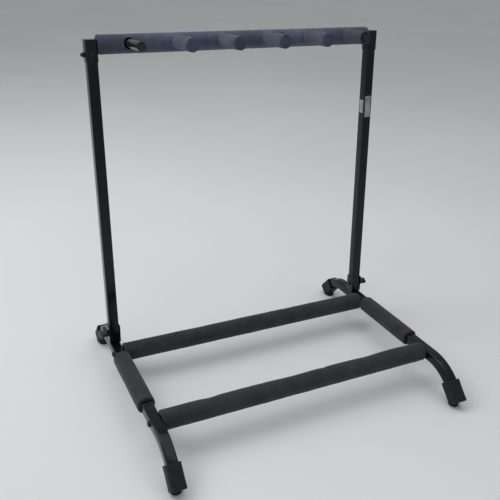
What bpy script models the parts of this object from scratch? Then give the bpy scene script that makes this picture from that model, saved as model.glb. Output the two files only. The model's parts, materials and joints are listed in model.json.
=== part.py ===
"""Folding floor rack for five guitars, as separate parts.

Two bent side legs stand on rubber feet and carry two padded crossbars. A
padded neck frame with six pegs turns on a bolt in a clevis on each leg, leans
back a little in use, and folds forward over the base once the wing knobs are
loosened. X runs along the bars, -Y is the front, +Z is up, and the origin is
on the floor under the middle of the base.
"""
import math

import bmesh
import bpy
from mathutils import Matrix, Vector

MM = 0.001
GAP = 0.3 * MM

# Side legs: square tube, bent down at both ends
LEG_X = 288.2 * MM
LEG_WIDTH = 20.2 * MM
LEG_HEIGHT = 20.4 * MM
LEG_CORNER = 3.0 * MM
LEG_Z = 65.5 * MM
LEG_STRAIGHT_FRONT = 157.5 * MM
LEG_STRAIGHT_REAR = 177.5 * MM
FRONT_BEND_RADIUS = 91.0 * MM
REAR_BEND_RADIUS = 62.0 * MM
LEG_BEND = math.radians(47.0)
FRONT_END = 26.0 * MM
REAR_END = 21.5 * MM
TUBE_WALL = 1.2 * MM

# The rear legs are shorter, so the whole rack tips back a little on its feet
TIP = math.radians(1.7)
TIP_RISE = -6.6 * MM
TIP_SHIFT = 1.35 * MM

# Rubber feet
BOOT_WALL = 3.6 * MM
BOOT_START = -9.0 * MM
BOOT_TOE = 9.0 * MM
BOOT_PLAY = 1.1 * MM
SOLE_RADIUS = 10.0 * MM
SOLE_HEIGHT = 16.0 * MM
SOLE_INSET = 12.0 * MM

# Crossbars between the legs
BAR_RADIUS = 9.5 * MM
BAR_BORE = 8.0 * MM
BAR_PLUG = 10.0 * MM
FRONT_BAR_Y = -134.9 * MM
REAR_BAR_Y = 97.3 * MM
FOAM_RADIUS = 18.4 * MM
SLEEVE_FRONT_Y = -85.5 * MM
SLEEVE_REAR_Y = 78.9 * MM
SLEEVE_RADIUS = 17.4 * MM

# Fasteners
SCREW_RADIUS = 3.0 * MM
HOLE_RADIUS = 3.3 * MM
HEAD_RADIUS = 6.0 * MM
HEAD_HEIGHT = 4.0 * MM

# Pivot of the neck frame
PIVOT_Y = 133.5 * MM
PIVOT_Z = 94.5 * MM
LEAN = math.radians(3.0)
CLEVIS_WALL = 1.5 * MM
CLEVIS_DEPTH = 24.0 * MM
CLEVIS_TOP = 112.5 * MM
STOP_HEIGHT = 10.3 * MM

# Neck frame, in its own frame: origin on the pivot, +Z along the uprights
POST_X = 287.9 * MM
POST_SIZE = 19.05 * MM
POST_CORNER = 1.5 * MM
POST_TAIL = 13.5 * MM
FRAME_TOP = 567.0 * MM
SOCKET_WALL = 0.8 * MM
SOCKET_HEIGHT = 38.0 * MM
NECK_BAR_DROP = 9.6 * MM
NECK_FOAM_RADIUS = 17.0 * MM
NECK_FOAM_END = 275.2 * MM
SOCKET_BOLT_DROP = 25.5 * MM

# Pegs
PEG_COUNT = 6
PEG_PITCH = 89.0 * MM
PEG_RADIUS = 7.9 * MM
PEG_REACH = 85.5 * MM
PEG_BORE = 6.6 * MM
PEG_RISE = 1.6 * MM
PLUG_LENGTH = 8.0 * MM
PLUG_INSET = 0.8 * MM
PEG_FOAM_RADIUS = 12.6 * MM
PEG_FOAM_REACH = 91.5 * MM
BARE_PEGS = (1,)
SLID_PEG = 6
SLID_FOAM_REACH = 81.0 * MM
BARE_PEG_PLAY = 2.2 * MM

# Wing knobs
KNOB_HUB_RADIUS = 7.0 * MM
KNOB_HUB_LENGTH = 15.5 * MM
KNOB_SPAN = 28.0 * MM
KNOB_THICKNESS = 5.0 * MM
WING_TURN = math.radians(78.0)
WASHER_RADIUS = 7.0 * MM
WASHER_THICKNESS = 1.2 * MM

# Blank stickers on the right upright
LABEL_THICKNESS = 0.3 * MM

SIDES = {"left": -1, "right": 1}
FRONT = {"way": -1, "straight": LEG_STRAIGHT_FRONT, "radius": FRONT_BEND_RADIUS,
         "length": FRONT_END}
REAR = {"way": 1, "straight": LEG_STRAIGHT_REAR, "radius": REAR_BEND_RADIUS,
        "length": REAR_END}
NECK_BAR_Z = FRAME_TOP - NECK_BAR_DROP


def clear_scene():
    for obj in list(bpy.data.objects):
        bpy.data.objects.remove(obj, do_unlink=True)


clear_scene()
RACK = bpy.data.collections.new("guitar_rack")
CUTTERS = bpy.data.collections.new("cutters")
for group in (RACK, CUTTERS):
    bpy.context.scene.collection.children.link(group)


def material(name, color, roughness, metallic=0.0):
    found = bpy.data.materials.get(name)
    if found:
        return found
    made = bpy.data.materials.new(name)
    made.use_nodes = True
    shader = made.node_tree.nodes["Principled BSDF"]
    shader.inputs["Base Color"].default_value = (*color, 1.0)
    shader.inputs["Roughness"].default_value = roughness
    shader.inputs["Metallic"].default_value = metallic
    return made


def black_paint():
    return material("black_paint", (0.012, 0.012, 0.014), 0.22, 0.3)


def charcoal_foam():
    return material("charcoal_foam", (0.035, 0.038, 0.043), 0.92)


def black_rubber():
    return material("black_rubber", (0.014, 0.014, 0.017), 0.65)


def black_plastic():
    return material("black_plastic", (0.02, 0.02, 0.022), 0.4)


def black_zinc():
    return material("black_zinc", (0.03, 0.03, 0.033), 0.35, 0.9)


def sticker_film():
    return material("sticker_film", (0.78, 0.79, 0.78), 0.45)


# Building blocks

def new_object(name, data, finish=None, parent=None, group=RACK):
    obj = bpy.data.objects.new(name, data)
    group.objects.link(obj)
    if finish:
        obj.data.materials.append(finish)
    obj.parent = parent
    return obj


def mesh_from(name, work):
    mesh = bpy.data.meshes.new(name)
    bmesh.ops.recalc_face_normals(work, faces=work.faces)
    work.to_mesh(mesh)
    work.free()
    return mesh


def box_mesh(name, size, center=(0, 0, 0), corner=0.0, vertical_only=False, segments=2):
    work = bmesh.new()
    bmesh.ops.create_cube(work, size=1.0)
    bmesh.ops.scale(work, vec=size, verts=work.verts)
    if corner:
        edges = work.edges
        if vertical_only:
            edges = [e for e in work.edges if is_along(e, 2)]
        bmesh.ops.bevel(work, geom=list(edges), offset=corner, segments=segments,
                        profile=0.5, affect="EDGES")
    bmesh.ops.translate(work, vec=center, verts=work.verts)
    return mesh_from(name, work)


def is_along(edge, axis):
    start, end = (v.co for v in edge.verts)
    return all(abs(start[i] - end[i]) < 1e-7 for i in range(3) if i != axis)


def rod_mesh(name, radius, start, end, axis="X", sides=24, cross=(0, 0), bevel=0.0):
    """A cylinder along one axis, from start to end on it."""
    work = bmesh.new()
    bmesh.ops.create_cone(work, cap_ends=True, segments=sides, radius1=radius,
                          radius2=radius, depth=abs(end - start))
    if bevel:
        rims = [e for e in work.edges if abs(e.verts[0].co.z - e.verts[1].co.z) < 1e-7]
        bmesh.ops.bevel(work, geom=rims, offset=bevel, segments=2, profile=0.5,
                        affect="EDGES")
    middle = (start + end) / 2
    turn = {"X": Matrix.Rotation(math.pi / 2, 4, "Y"),
            "Y": Matrix.Rotation(math.pi / 2, 4, "X"),
            "Z": Matrix.Identity(4)}[axis]
    place = {"X": (middle, *cross), "Y": (cross[0], middle, cross[1]),
             "Z": (*cross, middle)}[axis]
    bmesh.ops.transform(work, matrix=Matrix.Translation(place) @ turn, verts=work.verts)
    return mesh_from(name, work)


def turned_mesh(name, profile, sides=24, turn=Matrix.Identity(4)):
    """Profile points (radius, height) run down the outer side, top to bottom."""
    mesh = bpy.data.meshes.new(name + "_profile")
    points = [(r, 0.0, z) for r, z in profile]
    edges = [(i, i + 1) for i in range(len(points) - 1)]
    if profile[0][0] > 1e-6:
        edges.append((len(points) - 1, 0))
    mesh.from_pydata(points, edges, [])
    obj = new_object(name + "_turned", mesh, group=CUTTERS)
    screw = obj.modifiers.new("turn", "SCREW")
    screw.axis = "Z"
    screw.steps = sides
    screw.render_steps = sides
    screw.use_merge_vertices = True
    screw.merge_threshold = 0.00001
    made = evaluated_mesh(obj, name)
    bpy.data.objects.remove(obj, do_unlink=True)
    made.transform(turn)
    return made


def evaluated_mesh(obj, name):
    bpy.context.view_layer.update()
    graph = bpy.context.evaluated_depsgraph_get()
    made = bpy.data.meshes.new_from_object(obj.evaluated_get(graph))
    made.name = name
    return made


def cutter(name, mesh, parent=None, location=(0, 0, 0), rotation=(0, 0, 0)):
    obj = new_object(name, mesh, parent=parent, group=CUTTERS)
    obj.location = location
    obj.rotation_euler = rotation
    obj.hide_render = True
    obj.display_type = "WIRE"
    return obj


def cut(obj, *tools, operation="DIFFERENCE"):
    for tool in tools:
        step = obj.modifiers.new(operation.lower(), "BOOLEAN")
        step.operation = operation
        step.solver = "EXACT"
        step.object = tool


def smooth(obj, angle=35.0):
    obj.data.shade_smooth()
    obj.data.set_sharp_from_angle(angle=math.radians(angle))


def empty(name, location, rotation=(0, 0, 0)):
    obj = bpy.data.objects.new(name, None)
    RACK.objects.link(obj)
    obj.location = location
    obj.rotation_euler = rotation
    return obj


# Legs

def leg_path():
    """Centre line of a leg in the YZ plane, from the front end to the rear end."""
    steps = 8
    half = []
    for end in (FRONT, REAR):
        points = []
        for i in range(steps + 1):
            angle = LEG_BEND * i / steps
            points.append((end["straight"] + end["radius"] * math.sin(angle),
                           LEG_Z - end["radius"] * (1 - math.cos(angle))))
        points.append(along_leg_end(end, end["length"]))
        half.append(points)
    front, rear = half
    return [(-y, z) for y, z in reversed(front)] + rear


def along_leg_end(end, distance):
    """Point on the sloping end of a leg, measured from where its bend stops."""
    y = end["straight"] + end["radius"] * math.sin(LEG_BEND) + distance * math.cos(LEG_BEND)
    z = LEG_Z - end["radius"] * (1 - math.cos(LEG_BEND)) - distance * math.sin(LEG_BEND)
    return y, z


def rounded_rectangle(width, height, corner, steps=2):
    points = []
    for quarter, (sx, sy) in enumerate(((1, 1), (-1, 1), (-1, -1), (1, -1))):
        center = (sx * (width / 2 - corner), sy * (height / 2 - corner))
        for i in range(steps + 1):
            angle = math.pi / 2 * (quarter + i / steps)
            points.append((center[0] + corner * math.cos(angle),
                           center[1] + corner * math.sin(angle)))
    return points


def poly_curve(name, points, closed=False):
    data = bpy.data.curves.new(name, "CURVE")
    data.dimensions = "3D"
    line = data.splines.new("POLY")
    line.points.add(len(points) - 1)
    for point, place in zip(line.points, points):
        point.co = (*place, 1.0)
    line.use_cyclic_u = closed
    return data


def leg_tube_mesh(name):
    section = poly_curve(name + "_section", [
        (x, y, 0.0) for x, y in rounded_rectangle(LEG_WIDTH, LEG_HEIGHT, LEG_CORNER)], True)
    outline = new_object(name + "_section", section, group=CUTTERS)
    path = poly_curve(name, [(0.0, y, z) for y, z in leg_path()])
    path.bevel_mode = "OBJECT"
    path.bevel_object = outline
    path.twist_mode = "Z_UP"
    line = new_object(name + "_path", path, group=CUTTERS)
    made = evaluated_mesh(line, name)
    for obj in (line, outline):
        bpy.data.objects.remove(obj, do_unlink=True)
    work = bmesh.new()
    work.from_mesh(made)
    bmesh.ops.remove_doubles(work, verts=work.verts, dist=0.00001)
    return mesh_from(name, work)


def build_leg(side, sign):
    leg = new_object(f"{side}_leg", leg_tube_mesh(f"{side}_leg"), black_paint())
    leg.location = (sign * LEG_X, 0, 0)
    wall = leg.modifiers.new("wall", "SOLIDIFY")
    wall.thickness = TUBE_WALL
    wall.offset = -1.0
    reach = LEG_WIDTH
    for place, y in (("front", FRONT_BAR_Y), ("rear", REAR_BAR_Y)):
        hole = rod_mesh("hole", HOLE_RADIUS, -reach, reach, "X", 12, (y, LEG_Z))
        cut(leg, cutter(f"{side}_{place}_bar_hole", hole, location=(sign * LEG_X, 0, 0)))
    smooth(leg)


# Feet

def foot_mesh_parts(end):
    """Boot, hollow for the leg and round sole of the foot on one end of a leg."""
    way = end["way"]
    toe = end["length"] + BOOT_TOE
    length = toe - BOOT_START
    width = LEG_WIDTH + 2 * BOOT_WALL
    depth = LEG_HEIGHT + 2 * BOOT_WALL
    middle_y, middle_z = along_leg_end(end, (BOOT_START + toe) / 2)
    tilt = Matrix.Rotation(way * (math.pi / 2 - LEG_BEND), 4, "X")
    boot = box_mesh("boot", (width, depth, length), corner=2.0 * MM)
    boot.transform(Matrix.Translation((0, way * middle_y, middle_z)) @ tilt)
    hollow_length = end["length"] - BOOT_START + 0.5 * MM
    hollow = box_mesh("hollow", (LEG_WIDTH + 2 * GAP, LEG_HEIGHT + 2 * BOOT_PLAY,
                                 hollow_length * 2), (0, 0, 0), LEG_CORNER * 0.8, True)
    top_y, top_z = along_leg_end(end, BOOT_START)
    hollow.transform(Matrix.Translation((0, way * top_y, top_z)) @ tilt)
    stop_y, _ = along_leg_end(end, toe)
    sole_y = way * (stop_y - SOLE_INSET)
    sole = rod_mesh("sole", SOLE_RADIUS, 0.0, SOLE_HEIGHT, "Z", 24, (0, 0), 2.0 * MM)
    sole.transform(Matrix.Translation((0, sole_y, floor_height(sole_y)))
                   @ Matrix.Rotation(TIP, 4, "X"))
    return boot, hollow, sole


def floor_height(y):
    """Height of the floor at a point under the rack, before the rack is tipped back."""
    return y * math.tan(TIP) - TIP_RISE


def build_foot(side, sign, place, end):
    name = f"{side}_{place}_foot"
    boot, hollow, sole = foot_mesh_parts(end)
    foot = new_object(name, boot, black_rubber())
    foot.location = (sign * LEG_X, 0, 0)
    cut(foot, cutter(name + "_sole", sole, location=foot.location), operation="UNION")
    cut(foot, cutter(name + "_hollow", hollow, location=foot.location))
    smooth(foot)


# Crossbars, foam and their bolts

def bar_profile(half_length):
    """Tube with a drilled plug in each end, down the outer side and back up the bore."""
    h = half_length
    plug = h - BAR_PLUG
    return [(BAR_RADIUS, h), (BAR_RADIUS, -h), (HOLE_RADIUS, -h), (HOLE_RADIUS, -plug),
            (BAR_BORE, -plug), (BAR_BORE, plug), (HOLE_RADIUS, plug), (HOLE_RADIUS, h)]


def foam_profile(radius, half_length, bore, edge=3.0 * MM):
    h = half_length
    rounding = []
    for i in range(3):
        angle = math.pi / 2 * i / 2
        rounding.append((radius - edge * (1 - math.sin(angle)),
                         h - edge * (1 - math.cos(angle))))
    lower = [(r, -z) for r, z in reversed(rounding)]
    return [(bore, h)] + rounding + lower + [(bore, -h)]


ALONG_X = Matrix.Rotation(math.pi / 2, 4, "Y")


def build_crossbar(place, y):
    inner = LEG_X - LEG_WIDTH / 2
    bar = new_object(f"{place}_crossbar",
                     turned_mesh(f"{place}_crossbar", bar_profile(inner - GAP), 24, ALONG_X),
                     black_paint())
    foam = new_object(f"{place}_crossbar_foam",
                      turned_mesh(f"{place}_crossbar_foam",
                                  foam_profile(FOAM_RADIUS, inner - 1.0 * MM,
                                               BAR_RADIUS + GAP), 26, ALONG_X),
                      charcoal_foam())
    for obj in (bar, foam):
        obj.location = (0, y, LEG_Z)
        smooth(obj)


def bolt_profile(head_radius, head_height, shank):
    """Button head above a plain shank, from the top down."""
    return [(0.0, head_height), (head_radius * 0.55, head_height),
            (head_radius * 0.88, head_height * 0.72), (head_radius, head_height * 0.3),
            (head_radius, 0.0), (SCREW_RADIUS, 0.0), (SCREW_RADIUS, -shank), (0.0, -shank)]


def face_out(sign):
    """Turns +Z of a turned part to point away from the middle along X."""
    return Matrix.Rotation(sign * math.pi / 2, 4, "Y")


def build_crossbar_bolt(side, sign, place, y):
    name = f"{side}_{place}_crossbar_bolt"
    mesh = turned_mesh(name, bolt_profile(HEAD_RADIUS, HEAD_HEIGHT, 30 * MM), 16,
                       face_out(sign))
    bolt = new_object(name, mesh, black_zinc())
    bolt.location = (sign * (LEG_X + LEG_WIDTH / 2 + GAP), y, LEG_Z)
    smooth(bolt)


def build_leg_sleeve(side, sign):
    name = f"{side}_leg_sleeve"
    half = (SLEEVE_REAR_Y - SLEEVE_FRONT_Y) / 2
    turn = Matrix.Rotation(math.pi / 2, 4, "X")
    mesh = turned_mesh(name, foam_profile(SLEEVE_RADIUS, half, 0.0), 26, turn)
    sleeve = new_object(name, mesh, charcoal_foam())
    sleeve.location = (sign * LEG_X, (SLEEVE_REAR_Y + SLEEVE_FRONT_Y) / 2, LEG_Z)
    opening = box_mesh("opening", (LEG_WIDTH + 2 * GAP, 4 * half, LEG_HEIGHT + 2 * GAP))
    cut(sleeve, cutter(name + "_opening", opening, location=sleeve.location))
    smooth(sleeve)


# Clevis, pivot bolt and knob on each leg

def clevis_width():
    return POST_SIZE + 2 * GAP + 2 * CLEVIS_WALL


def build_clevis(side, sign):
    name = f"{side}_pivot_bracket"
    base = LEG_Z + LEG_HEIGHT / 2 + GAP
    height = CLEVIS_TOP - base
    shell = box_mesh(name, (clevis_width(), CLEVIS_DEPTH, height),
                     (0, 0, base + height / 2 - PIVOT_Z), 0.6 * MM, segments=1)
    bracket = new_object(name, shell, black_paint())
    bracket.location = (sign * POST_X, PIVOT_Y, PIVOT_Z)
    inside = clevis_width() - 2 * CLEVIS_WALL
    floor = base + CLEVIS_WALL - PIVOT_Z
    stop = -POST_SIZE / 2 - GAP
    room = box_mesh("room", (inside, CLEVIS_DEPTH, 60 * MM),
                    (0, stop + CLEVIS_DEPTH / 2, floor + 30 * MM))
    front = box_mesh("front", (inside, CLEVIS_DEPTH, 60 * MM),
                     (0, -CLEVIS_DEPTH / 2, -STOP_HEIGHT + 30 * MM))
    hole = rod_mesh("hole", HOLE_RADIUS, -20 * MM, 20 * MM, "X", 16)
    lean = (-LEAN, 0, 0)
    cut(bracket, cutter(f"{name}_room", room, None, bracket.location, lean))
    for label, tool in (("front", front), ("hole", hole)):
        cut(bracket, cutter(f"{name}_{label}", tool, location=bracket.location))
    smooth(bracket)


def build_pivot_bolt(side, sign):
    name = f"{side}_pivot_bolt"
    inner = clevis_width() / 2 + GAP
    shank = clevis_width() + GAP + WASHER_THICKNESS + KNOB_HUB_LENGTH * 0.7
    mesh = turned_mesh(name, bolt_profile(5.2 * MM, 2.4 * MM, shank), 16, face_out(-sign))
    bolt = new_object(name, mesh, black_zinc())
    bolt.location = (sign * (POST_X - inner), PIVOT_Y, PIVOT_Z)
    smooth(bolt)


def build_washer(side, sign):
    name = f"{side}_pivot_washer"
    profile = [(WASHER_RADIUS, WASHER_THICKNESS), (WASHER_RADIUS, 0.0),
               (HOLE_RADIUS, 0.0), (HOLE_RADIUS, WASHER_THICKNESS)]
    washer = new_object(name, turned_mesh(name, profile, 20, face_out(sign)), black_zinc())
    washer.location = (sign * (POST_X + clevis_width() / 2 + GAP), PIVOT_Y, PIVOT_Z)
    smooth(washer)


def wing_outline():
    """Two round lobes on a waist, in the plane across the bolt."""
    radius = 5.0 * MM
    lobe = KNOB_SPAN / 2 - radius
    waist = 4.0 * MM
    points = []
    for end in (1, -1):
        for i in range(9):
            angle = math.radians(-70 + 140 * i / 8)
            points.append((end * (lobe + radius * math.cos(angle)),
                           end * radius * math.sin(angle)))
        points.append((0.0, end * waist))
    return points


def flat_plate_mesh(name, outline, thickness):
    data = poly_curve(name + "_outline", [(x, y, 0.0) for x, y in outline], True)
    data.dimensions = "2D"
    data.fill_mode = "BOTH"
    data.extrude = thickness / 2
    obj = new_object(name + "_outline", data, group=CUTTERS)
    made = evaluated_mesh(obj, name)
    bpy.data.objects.remove(obj, do_unlink=True)
    work = bmesh.new()
    work.from_mesh(made)
    bmesh.ops.remove_doubles(work, verts=work.verts, dist=0.00001)
    return mesh_from(name, work)


def build_knob(side, sign):
    name = f"{side}_wing_knob"
    hub = turned_mesh(name, [(0.0, KNOB_HUB_LENGTH), (KNOB_HUB_RADIUS - 2 * MM, KNOB_HUB_LENGTH),
                             (KNOB_HUB_RADIUS, KNOB_HUB_LENGTH - 2 * MM),
                             (KNOB_HUB_RADIUS, 0.0), (0.0, 0.0)], 20)
    knob = new_object(name, hub, black_plastic())
    start = POST_X + clevis_width() / 2 + 2 * GAP + WASHER_THICKNESS
    knob.location = (sign * start, PIVOT_Y, PIVOT_Z)
    knob.rotation_euler = (0, sign * math.pi / 2, 0)
    wings = flat_plate_mesh(name + "_wings", wing_outline(), KNOB_THICKNESS)
    wings.transform(Matrix.Translation((0, 0, KNOB_HUB_LENGTH - KNOB_THICKNESS / 2 - 1.5 * MM))
                    @ Matrix.Rotation(WING_TURN, 4, "Z"))
    cut(knob, cutter(name + "_wings", wings, location=knob.location,
                     rotation=knob.rotation_euler), operation="UNION")
    bore = rod_mesh("bore", HOLE_RADIUS, -5 * MM, KNOB_HUB_LENGTH * 0.8, "Z", 16)
    cut(knob, cutter(name + "_bore", bore, location=knob.location,
                     rotation=knob.rotation_euler))
    smooth(knob)


# Neck frame

def build_upright(side, sign, frame):
    name = f"{side}_upright"
    top = FRAME_TOP - SOCKET_WALL - GAP
    length = top + POST_TAIL
    work = bmesh.new()
    work.from_mesh(box_mesh(name, (POST_SIZE, POST_SIZE, length), (0, 0, top - length / 2),
                            POST_CORNER, True))
    ends = [f for f in work.faces if abs(f.normal.z) > 0.5]
    bmesh.ops.delete(work, geom=ends, context="FACES_ONLY")
    upright = new_object(name, mesh_from(name, work), black_paint(), frame)
    upright.location = (sign * POST_X, 0, 0)
    wall = upright.modifiers.new("wall", "SOLIDIFY")
    wall.thickness = TUBE_WALL
    wall.offset = -1.0
    bolt_z = FRAME_TOP - SOCKET_BOLT_DROP
    holes = {"pivot": rod_mesh("pivot", HOLE_RADIUS, -20 * MM, 20 * MM, "X", 16),
             "socket": rod_mesh("socket", 2.3 * MM, -20 * MM, 20 * MM, "X", 12, (0, bolt_z)),
             "screw": rod_mesh("screw", 2.3 * MM, -20 * MM, 0, "Y", 12, (0, bolt_z))}
    for label, tool in holes.items():
        cut(upright, cutter(f"{name}_{label}", tool, frame, upright.location))
    smooth(upright)


def build_socket(side, sign, frame):
    name = f"{side}_neck_socket"
    inside = POST_SIZE + 2 * GAP
    outside = inside + 2 * SOCKET_WALL
    low = FRAME_TOP - SOCKET_HEIGHT
    shell = box_mesh(name, (outside, outside, SOCKET_HEIGHT),
                     (0, 0, low + SOCKET_HEIGHT / 2), 0.8 * MM, segments=2)
    socket = new_object(name, shell, black_paint(), frame)
    socket.location = (sign * POST_X, 0, 0)
    room = box_mesh("room", (inside, inside, SOCKET_HEIGHT),
                    (0, 0, low + SOCKET_HEIGHT / 2 - SOCKET_WALL))
    bolt_z = FRAME_TOP - SOCKET_BOLT_DROP
    across = rod_mesh("across", 2.3 * MM, -20 * MM, 20 * MM, "X", 12, (0, bolt_z))
    front = rod_mesh("front", 2.3 * MM, -20 * MM, 0, "Y", 12, (0, bolt_z))
    for label, tool in (("room", room), ("across", across), ("front", front)):
        cut(socket, cutter(f"{name}_{label}", tool, frame, socket.location))
    smooth(socket)


def socket_half():
    return POST_SIZE / 2 + GAP + SOCKET_WALL


def build_socket_fasteners(side, sign, frame):
    """A bolt across the socket with its nut on the left, and a screw from the front."""
    bolt_z = FRAME_TOP - SOCKET_BOLT_DROP
    thin = 2.0 * MM
    reach = 2 * socket_half() + 2 * GAP
    name = f"{side}_socket_bolt"
    head = [(0.0, 1.6 * MM), (2.6 * MM, 1.6 * MM), (3.6 * MM, 0.8 * MM), (3.6 * MM, 0.0),
            (thin, 0.0), (thin, -reach - 5.0 * MM), (0.0, -reach - 5.0 * MM)]
    bolt = new_object(name, turned_mesh(name, head, 16, face_out(1)), black_zinc(), frame)
    bolt.location = (sign * POST_X + socket_half() + GAP, 0, bolt_z)
    name = f"{side}_socket_nut"
    dome = [(0.0, 7.6 * MM), (1.9 * MM, 7.2 * MM), (3.3 * MM, 5.9 * MM), (3.9 * MM, 3.6 * MM),
            (4.4 * MM, 3.2 * MM), (4.4 * MM, 0.0), (2.3 * MM, 0.0), (2.3 * MM, 5.4 * MM),
            (0.0, 5.4 * MM)]
    nut = new_object(name, turned_mesh(name, dome, 16, face_out(-1)), black_zinc(), frame)
    nut.location = (sign * POST_X - socket_half() - GAP, 0, bolt_z)
    name = f"{side}_socket_screw"
    pan = [(0.0, 2.2 * MM), (2.8 * MM, 2.0 * MM), (4.4 * MM, 1.0 * MM), (4.6 * MM, 0.0),
           (thin, 0.0), (thin, -6.0 * MM), (0.0, -6.0 * MM)]
    forward = Matrix.Rotation(math.pi / 2, 4, "X")
    screw = new_object(name, turned_mesh(name, pan, 16, forward), black_zinc(), frame)
    screw.location = (sign * POST_X, -socket_half() - GAP, bolt_z)
    for obj in (bolt, nut, screw):
        smooth(obj)


def peg_x(number):
    return (number - (PEG_COUNT + 1) / 2) * PEG_PITCH


def build_neck_bar(frame):
    half = POST_X - socket_half() - GAP
    profile = [(BAR_RADIUS, half), (BAR_RADIUS, -half), (BAR_BORE, -half), (BAR_BORE, half)]
    bar = new_object("neck_bar", turned_mesh("neck_bar", profile, 24, ALONG_X),
                     black_paint(), frame)
    foam = new_object("neck_bar_foam",
                      turned_mesh("neck_bar_foam",
                                  foam_profile(NECK_FOAM_RADIUS, NECK_FOAM_END,
                                               BAR_RADIUS + GAP), 26, ALONG_X),
                      charcoal_foam(), frame)
    for obj in (bar, foam):
        obj.location = (0, 0, NECK_BAR_Z)
        smooth(obj)
    for number in range(1, PEG_COUNT + 1):
        play = BARE_PEG_PLAY if number in BARE_PEGS else GAP
        hole = rod_mesh("hole", PEG_RADIUS + play, -40 * MM, 0, "Y", 20,
                        (peg_x(number), PEG_RISE))
        cut(foam, cutter(f"peg_{number}_hole", hole, frame, foam.location))
    dent_z = NECK_BAR_DROP - SOCKET_BOLT_DROP
    for label, inner, outer in (("nut", 267.5 * MM, 290 * MM), ("head", -290 * MM, -273 * MM)):
        dent = rod_mesh("dent", 5.4 * MM, inner, outer, "X", 16, (0, dent_z))
        cut(foam, cutter(f"bolt_{label}_dent", dent, frame, foam.location))


def build_peg(number, frame, bar_cutter, foam_cutter):
    place = (peg_x(number), 0, NECK_BAR_Z + PEG_RISE)
    forward = Matrix.Rotation(math.pi / 2, 4, "X")
    name = f"peg_{number}"
    rim = 0.5 * MM
    tube = [(PEG_BORE, PEG_REACH), (PEG_RADIUS - rim, PEG_REACH), (PEG_RADIUS, PEG_REACH - rim),
            (PEG_RADIUS, 0.0), (PEG_BORE, 0.0)]
    peg = new_object(name, turned_mesh(name, tube, 24, forward), black_paint(), frame)
    cut(peg, bar_cutter)
    name = f"peg_plug_{number}"
    top = PEG_REACH - PLUG_INSET
    radius = PEG_BORE - GAP
    plug_profile = [(0.0, top), (radius - rim, top), (radius, top - rim),
                    (radius, top - PLUG_LENGTH), (0.0, top - PLUG_LENGTH)]
    plug = new_object(name, turned_mesh(name, plug_profile, 20, forward), black_plastic(), frame)
    pieces = [peg, plug]
    if number not in BARE_PEGS:
        pieces.append(build_peg_foam(number, frame, forward, foam_cutter))
    for obj in pieces:
        obj.location = place
        smooth(obj)


def build_peg_foam(number, frame, forward, foam_cutter):
    """A closed foam cover; on one peg it has split at its end and slid back from the tip."""
    name = f"peg_foam_{number}"
    slid = number == SLID_PEG
    end = SLID_FOAM_REACH if slid else PEG_FOAM_REACH
    radius = PEG_FOAM_RADIUS
    bore = PEG_RADIUS + GAP
    profile = [(radius - 3.0 * MM, end), (radius - 0.9 * MM, end - 0.9 * MM),
               (radius, end - 3.0 * MM), (radius, 0.0), (bore, 0.0)]
    if slid:
        profile = [(bore, end)] + profile
    else:
        profile = [(0.0, end)] + profile + [(bore, PEG_REACH + GAP), (0.0, PEG_REACH + GAP)]
    foam = new_object(name, turned_mesh(name, profile, 24, forward), charcoal_foam(), frame)
    cut(foam, foam_cutter)
    return foam


def build_labels(frame):
    """Blank stickers on the front and inner faces of the right upright."""
    half = POST_SIZE / 2
    label_z = 413.0 * MM
    front = box_mesh("front_label", (14.0 * MM, LABEL_THICKNESS, 44.0 * MM))
    inner = box_mesh("inner_label", (LABEL_THICKNESS, 14.0 * MM, 27.0 * MM))
    front_label = new_object("front_label", front, sticker_film(), frame)
    front_label.location = (POST_X, -half - GAP - LABEL_THICKNESS / 2, label_z)
    inner_label = new_object("inner_label", inner, sticker_film(), frame)
    inner_label.location = (POST_X - half - GAP - LABEL_THICKNESS / 2, 0, label_z)


def build_base():
    for side, sign in SIDES.items():
        build_leg(side, sign)
        build_foot(side, sign, "front", FRONT)
        build_foot(side, sign, "rear", REAR)
        build_leg_sleeve(side, sign)
        build_crossbar_bolt(side, sign, "front", FRONT_BAR_Y)
        build_crossbar_bolt(side, sign, "rear", REAR_BAR_Y)
        build_clevis(side, sign)
        build_pivot_bolt(side, sign)
        build_washer(side, sign)
        build_knob(side, sign)
    build_crossbar("front", FRONT_BAR_Y)
    build_crossbar("rear", REAR_BAR_Y)


def build_neck_frame():
    frame = empty("neck_frame_pivot", (0, PIVOT_Y, PIVOT_Z), (-LEAN, 0, 0))
    for side, sign in SIDES.items():
        build_upright(side, sign, frame)
        build_socket(side, sign, frame)
        build_socket_fasteners(side, sign, frame)
    build_neck_bar(frame)
    reach = POST_X
    bar_cutter = cutter("neck_bar_cut", rod_mesh("cut", BAR_RADIUS + GAP, -reach, reach, "X", 24),
                        frame, (0, 0, NECK_BAR_Z))
    foam_cutter = cutter("neck_foam_cut",
                         rod_mesh("cut", NECK_FOAM_RADIUS + GAP, -reach, reach, "X", 28),
                         frame, (0, 0, NECK_BAR_Z))
    for number in range(1, PEG_COUNT + 1):
        build_peg(number, frame, bar_cutter, foam_cutter)
    build_labels(frame)


def tip_back():
    """Everything so far stands on one frame, set on the floor by its feet."""
    whole = [obj for group in (RACK, CUTTERS) for obj in group.objects if not obj.parent]
    floor = empty("floor_frame", (0, TIP_SHIFT, TIP_RISE), (-TIP, 0, 0))
    for obj in whole:
        obj.parent = floor


build_base()
build_neck_frame()
tip_back()
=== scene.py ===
"""Looks of the folding guitar rack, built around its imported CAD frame.

Lengths are in metres in the row frame. The base and the neck frame each have a
local frame of their own: the base is tipped back a little on its feet, and the
neck frame leans back on its pivot. Pieces are modelled in those local frames.
"""
import json
import math

import bmesh
import bpy
from mathutils import Euler, Matrix, Vector, noise


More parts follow.
